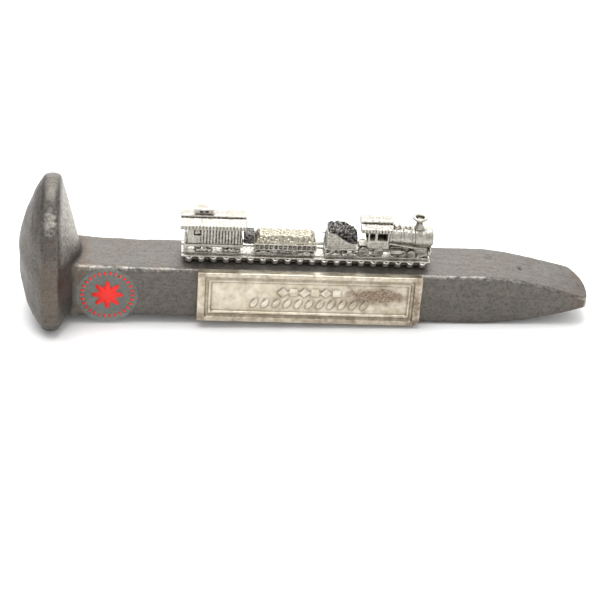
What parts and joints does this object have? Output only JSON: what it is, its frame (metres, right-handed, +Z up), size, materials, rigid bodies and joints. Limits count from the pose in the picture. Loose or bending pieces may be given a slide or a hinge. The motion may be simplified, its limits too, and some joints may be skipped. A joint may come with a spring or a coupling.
{
  "type": "souvenir rail spike",
  "caption": "Small forged rail spike lying on its side, with a cast miniature steam train along its shank, a framed cast plaque on its front and a round clear label by its head.",
  "frame": {"origin": "centre of the bounding box's bottom face, on the table that the spike lies on", "axes": "+X along the spike from its head to its chisel edge; -Y towards the side with the plaque and the label; +Z up, with the train on top. The shank leans 1.5 degrees down towards the chisel edge, because it rests on the rim of the head and on the heel of the taper"},
  "size_m": [0.1234, 0.0264, 0.0325],
  "materials": {
    "forged_steel": "forged, dark and worn bright on the edges",
    "white_metal": "cast white metal with an antique dark wash in the recesses",
    "dark_white_metal": "cast white metal, blackened",
    "plaque_metal": "cast white metal with a warm, partly brown tarnish",
    "glue": "cured clear adhesive",
    "label_film": "clear film with a red print"
  },
  "bodies": {
    "root": {"boiler": "white_metal", "buffer_beam": "white_metal", "cab": "white_metal", "cab_roof": "white_metal", "caboose_body": "white_metal", "caboose_cupola": "white_metal", "caboose_cupola_roof": "white_metal", "caboose_frame": "white_metal", "caboose_railing_front": "white_metal", "caboose_railing_rear": "white_metal", "caboose_roof": "white_metal", "caboose_truck_front": "white_metal", "caboose_truck_rear": "white_metal", "coupler_front": "white_metal", "coupler_middle": "white_metal", "coupler_rear": "white_metal", "cowcatcher": "white_metal", "cylinder_far": "white_metal", "cylinder_near": "white_metal", "driving_wheels_front": "white_metal", "driving_wheels_rear": "white_metal", "engine_frame": "white_metal", "gondola_body": "white_metal", "gondola_end_block": "dark_white_metal", "gondola_frame": "white_metal", "gondola_load": "white_metal", "gondola_truck_front": "white_metal", "gondola_truck_rear": "white_metal", "pilot_wheels_front": "white_metal", "pilot_wheels_rear": "white_metal", "plaque": "plaque_metal", "plaque_glue": "glue", "rail_far": "white_metal", "rail_near": "white_metal", "round_label": "label_film", "running_board_far": "white_metal", "running_board_near": "white_metal", "sand_dome": "white_metal", "side_rod_far": "white_metal", "side_rod_near": "white_metal", "smokebox": "white_metal", "smokebox_door": "white_metal", "smokestack": "white_metal", "spike": "forged_steel", "steam_dome": "white_metal", "tender_brake_wheel": "white_metal", "tender_coal": "dark_white_metal", "tender_frame": "white_metal", "tender_tank": "white_metal", "tender_truck_front": "white_metal", "tender_truck_rear": "white_metal", "track_base": "white_metal", "train_glue": "glue"}
  },
  "joints": []
}
